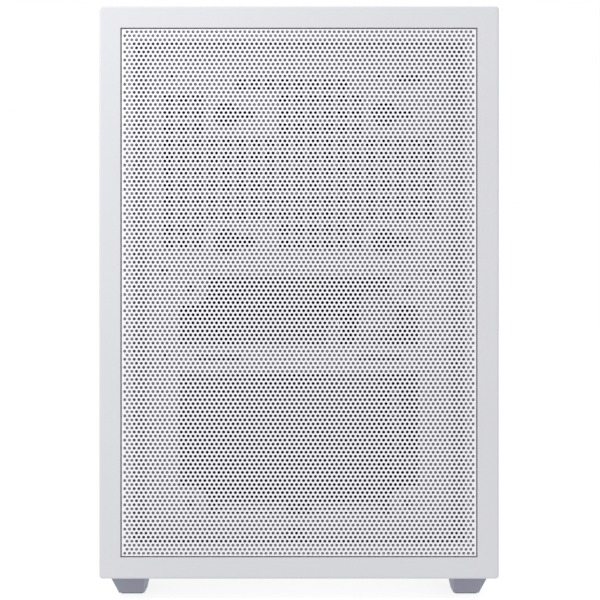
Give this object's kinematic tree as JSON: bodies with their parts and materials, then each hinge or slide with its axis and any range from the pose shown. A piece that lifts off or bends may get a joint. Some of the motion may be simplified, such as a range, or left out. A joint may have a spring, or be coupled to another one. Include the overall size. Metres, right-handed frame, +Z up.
{
  "type": "desktop computer tower",
  "caption": "Compact upright desktop computer with a perforated white front, push-fit panels and its parts inside.",
  "frame": {"origin": "on the floor under the centre of the box around the whole machine", "axes": "+Z up, -Y out of the perforated front, +X to the right seen from the front"},
  "size_m": [0.19, 0.35, 0.2834],
  "materials": {
    "frame_white": "fine powder coat",
    "mesh_white": "powder coated perforated steel",
    "panel_white": "fine powder coat",
    "chassis_white": "satin powder coat",
    "nylon": "natural nylon",
    "strip_white": "fine moulded texture",
    "foot_grey": "satin moulded plastic",
    "rubber_black": "matt",
    "black_plastic": "satin moulded plastic",
    "black_steel": "black powder coat",
    "circuit_board": "solder mask over glass laminate",
    "light_pipe": "frosted",
    "bright_steel": "bright zinc",
    "bare_aluminium": "brushed",
    "copper_tube": "drawn copper tube"
  },
  "bodies": {
    "chassis": {"chassis_floor": "chassis_white", "chassis_front_plate": "chassis_white", "fan_cross_bar": "chassis_white", "chassis_rear_plate": "chassis_white", "chassis_top_frame": "chassis_white", "board_tray": "chassis_white", "panel_sockets": "nylon", "slot_covers": "chassis_white", "foot_front_left": "foot_grey", "foot_front_right": "foot_grey", "foot_rear_left": "foot_grey", "foot_rear_right": "foot_grey", "foot_pads": "rubber_black", "top_strip": "strip_white", "front_sockets": "black_plastic", "front_port_board": "circuit_board", "status_light": "light_pipe", "rear_fan_frame": "black_plastic", "cooler_fan_frame": "black_plastic", "psu_fan_frame": "black_plastic", "power_inlet": "black_plastic", "psu_housing": "black_steel", "psu_fan_guard": "black_steel", "psu_circuit": "circuit_board", "psu_bracket": "chassis_white", "psu_sockets": "black_plastic", "main_board": "circuit_board", "standoffs": "bright_steel", "processor": "bare_aluminium", "board_slots": "black_plastic", "memory_modules": "bare_aluminium", "board_connectors": "black_plastic", "solid_state_drive": "circuit_board", "clock_battery": "bright_steel", "regulator_heat_sinks": "bare_aluminium", "chipset_heat_sink": "bare_aluminium", "cooler_base": "bare_aluminium", "heat_pipes": "copper_tube", "cooler_fins": "bare_aluminium", "rear_sockets": "bright_steel", "socket_shield": "bright_steel", "mains_plug": "black_plastic", "mains_lead": "rubber_black", "board_power_lead": "rubber_black", "port_lead": "rubber_black", "screws": "bright_steel"},
    "front_panel": {"front_frame": "frame_white", "front_mesh": "mesh_white", "front_studs": "nylon"},
    "left_panel": {"left_panel": "panel_white", "left_panel_studs": "nylon"},
    "right_panel": {"right_panel": "panel_white", "right_panel_studs": "nylon"},
    "top_panel": {"top_panel": "panel_white", "top_panel_studs": "nylon"},
    "power_button": {"power_button": "strip_white"},
    "rear_fan": {"rear_fan_rotor": "black_plastic"},
    "cooler_fan": {"cooler_fan_rotor": "black_plastic"},
    "psu_fan": {"psu_fan_rotor": "black_plastic"},
    "psu_switch": {"psu_rocker": "black_plastic"}
  },
  "joints": [
    {"name": "front_panel_pull", "type": "slide", "parent": "chassis", "child": "front_panel", "axis": [0, -1, 0], "range_m": [0, 0.06]},
    {"name": "left_panel_pull", "type": "slide", "parent": "chassis", "child": "left_panel", "axis": [-1, 0, 0], "range_m": [0, 0.06]},
    {"name": "right_panel_pull", "type": "slide", "parent": "chassis", "child": "right_panel", "axis": [1, 0, 0], "range_m": [0, 0.06]},
    {"name": "top_panel_lift", "type": "slide", "parent": "chassis", "child": "top_panel", "axis": [0, 0, 1], "range_m": [0, 0.06]},
    {"name": "power_button_press", "type": "slide", "parent": "chassis", "child": "power_button", "axis": [0, 0, -1], "range_m": [0, 0.0015], "stiffness_N_per_m": 800},
    {"name": "rear_fan_spin", "type": "hinge", "parent": "chassis", "child": "rear_fan", "pos_m": [-0.038, 0.16, 0.221], "axis": [0, 1, 0], "continuous": true},
    {"name": "cooler_fan_spin", "type": "hinge", "parent": "chassis", "child": "cooler_fan", "pos_m": [-0.0251, 0.06, 0.192], "axis": [0, 1, 0], "continuous": true},
    {"name": "psu_fan_spin", "type": "hinge", "parent": "chassis", "child": "psu_fan", "pos_m": [0, -0.14, 0.203], "axis": [0, 1, 0], "continuous": true},
    {"name": "psu_switch_rock", "type": "hinge", "parent": "chassis", "child": "psu_switch", "pos_m": [0.022, -0.11625, 0.251], "axis": [1, 0, 0], "range_deg": [0, 18]}
  ]
}
